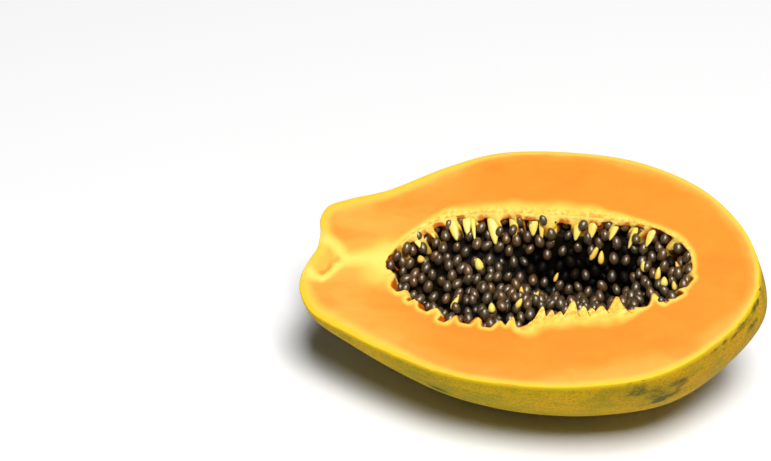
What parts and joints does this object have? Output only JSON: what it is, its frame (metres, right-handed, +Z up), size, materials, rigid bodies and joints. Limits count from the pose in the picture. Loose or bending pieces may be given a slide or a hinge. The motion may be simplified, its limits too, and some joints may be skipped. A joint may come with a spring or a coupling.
{
  "type": "papaya half with seeds",
  "caption": "Half of a ripe papaya, cut lengthwise and lying on its rounded back, with orange flesh, a yellow-green rind and a cavity full of black seeds.",
  "frame": {"origin": "centre of the bounding box on the surface that the fruit rests on", "axes": "+Z up, +X along the fruit from its stem end to its blossom end; the cut face leans towards -Y"},
  "size_m": [0.219, 0.1358, 0.0921],
  "materials": {
    "flesh": "moist orange flesh with a waxy yellow-green rind",
    "seed": "wet black-brown seed skins"
  },
  "bodies": {
    "root": {"fruit": "flesh", "seeds": "seed"}
  },
  "joints": []
}
